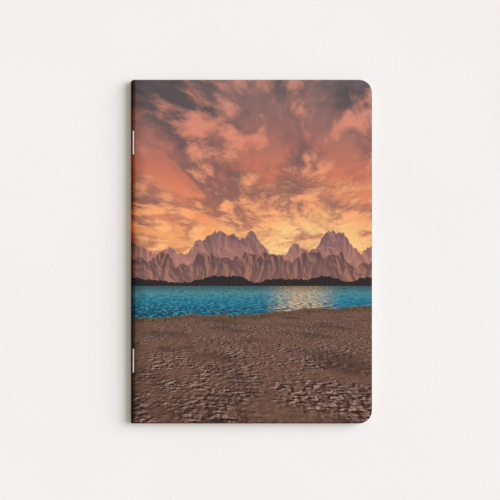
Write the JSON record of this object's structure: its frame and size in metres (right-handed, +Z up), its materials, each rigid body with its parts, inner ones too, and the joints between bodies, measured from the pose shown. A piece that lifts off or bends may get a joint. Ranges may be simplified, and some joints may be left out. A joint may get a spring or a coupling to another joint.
{
  "type": "stapled A5 notebook",
  "caption": "Thin A5 notebook with a soft printed cover, two wire staples in the spine and rounded fore-edge corners. The cover opens and the pages open flat.",
  "frame": {"origin": "on the surface the closed notebook lies on, under the middle of its outline", "axes": "+X from the spine to the fore-edge, +Y from the foot to the head, +Z up out of the front cover"},
  "size_m": [0.1474, 0.21, 0.0049],
  "materials": {
    "cover_card": "satin print",
    "page_paper": "uncoated",
    "staple_wire": "bright drawn wire"
  },
  "bodies": {
    "back_half": {"back_cover": "cover_card", "back_leaf_01": "page_paper", "back_leaf_02": "page_paper", "back_leaf_03": "page_paper", "back_leaf_04": "page_paper", "back_leaf_05": "page_paper", "back_leaf_06": "page_paper", "back_leaf_07": "page_paper", "back_leaf_08": "page_paper", "back_leaf_09": "page_paper", "back_leaf_10": "page_paper", "back_leaf_11": "page_paper", "back_leaf_12": "page_paper", "back_leaf_13": "page_paper", "back_leaf_14": "page_paper", "back_leaf_15": "page_paper", "back_leaf_16": "page_paper", "back_leaf_17": "page_paper", "back_leaf_18": "page_paper"},
    "spine_fold": {"cover_spine": "cover_card", "sheet_fold_01": "page_paper", "sheet_fold_02": "page_paper", "sheet_fold_03": "page_paper", "sheet_fold_04": "page_paper", "sheet_fold_05": "page_paper", "sheet_fold_06": "page_paper", "sheet_fold_07": "page_paper", "sheet_fold_08": "page_paper", "sheet_fold_09": "page_paper", "sheet_fold_10": "page_paper", "sheet_fold_11": "page_paper", "sheet_fold_12": "page_paper", "sheet_fold_13": "page_paper", "sheet_fold_14": "page_paper", "sheet_fold_15": "page_paper", "sheet_fold_16": "page_paper", "sheet_fold_17": "page_paper", "sheet_fold_18": "page_paper", "staple_upper": "staple_wire", "staple_lower": "staple_wire"},
    "front_pages": {"front_leaf_01": "page_paper", "front_leaf_02": "page_paper", "front_leaf_03": "page_paper", "front_leaf_04": "page_paper", "front_leaf_05": "page_paper", "front_leaf_06": "page_paper", "front_leaf_07": "page_paper", "front_leaf_08": "page_paper", "front_leaf_09": "page_paper", "front_leaf_10": "page_paper", "front_leaf_11": "page_paper", "front_leaf_12": "page_paper", "front_leaf_13": "page_paper", "front_leaf_14": "page_paper", "front_leaf_15": "page_paper", "front_leaf_16": "page_paper", "front_leaf_17": "page_paper", "front_leaf_18": "page_paper"},
    "cover_panel": {"front_cover": "cover_card"}
  },
  "joints": [
    {"name": "lower_crease", "type": "hinge", "parent": "back_half", "child": "spine_fold", "pos_m": [-0.07325, 0, 0.0005], "axis": [0, -1, 0], "range_deg": [0, 90]},
    {"name": "upper_crease", "type": "hinge", "parent": "spine_fold", "child": "front_pages", "pos_m": [-0.07325, 0, 0.00416], "axis": [0, -1, 0], "range_deg": [0, 90]},
    {"name": "cover_hinge", "type": "hinge", "parent": "front_pages", "child": "cover_panel", "pos_m": [-0.07142, 0, 0.00491], "axis": [0, -1, 0], "range_deg": [0, 180]}
  ],
  "couplings": [
    {"joint": "upper_crease", "follows": "lower_crease", "ratio": 1}
  ]
}
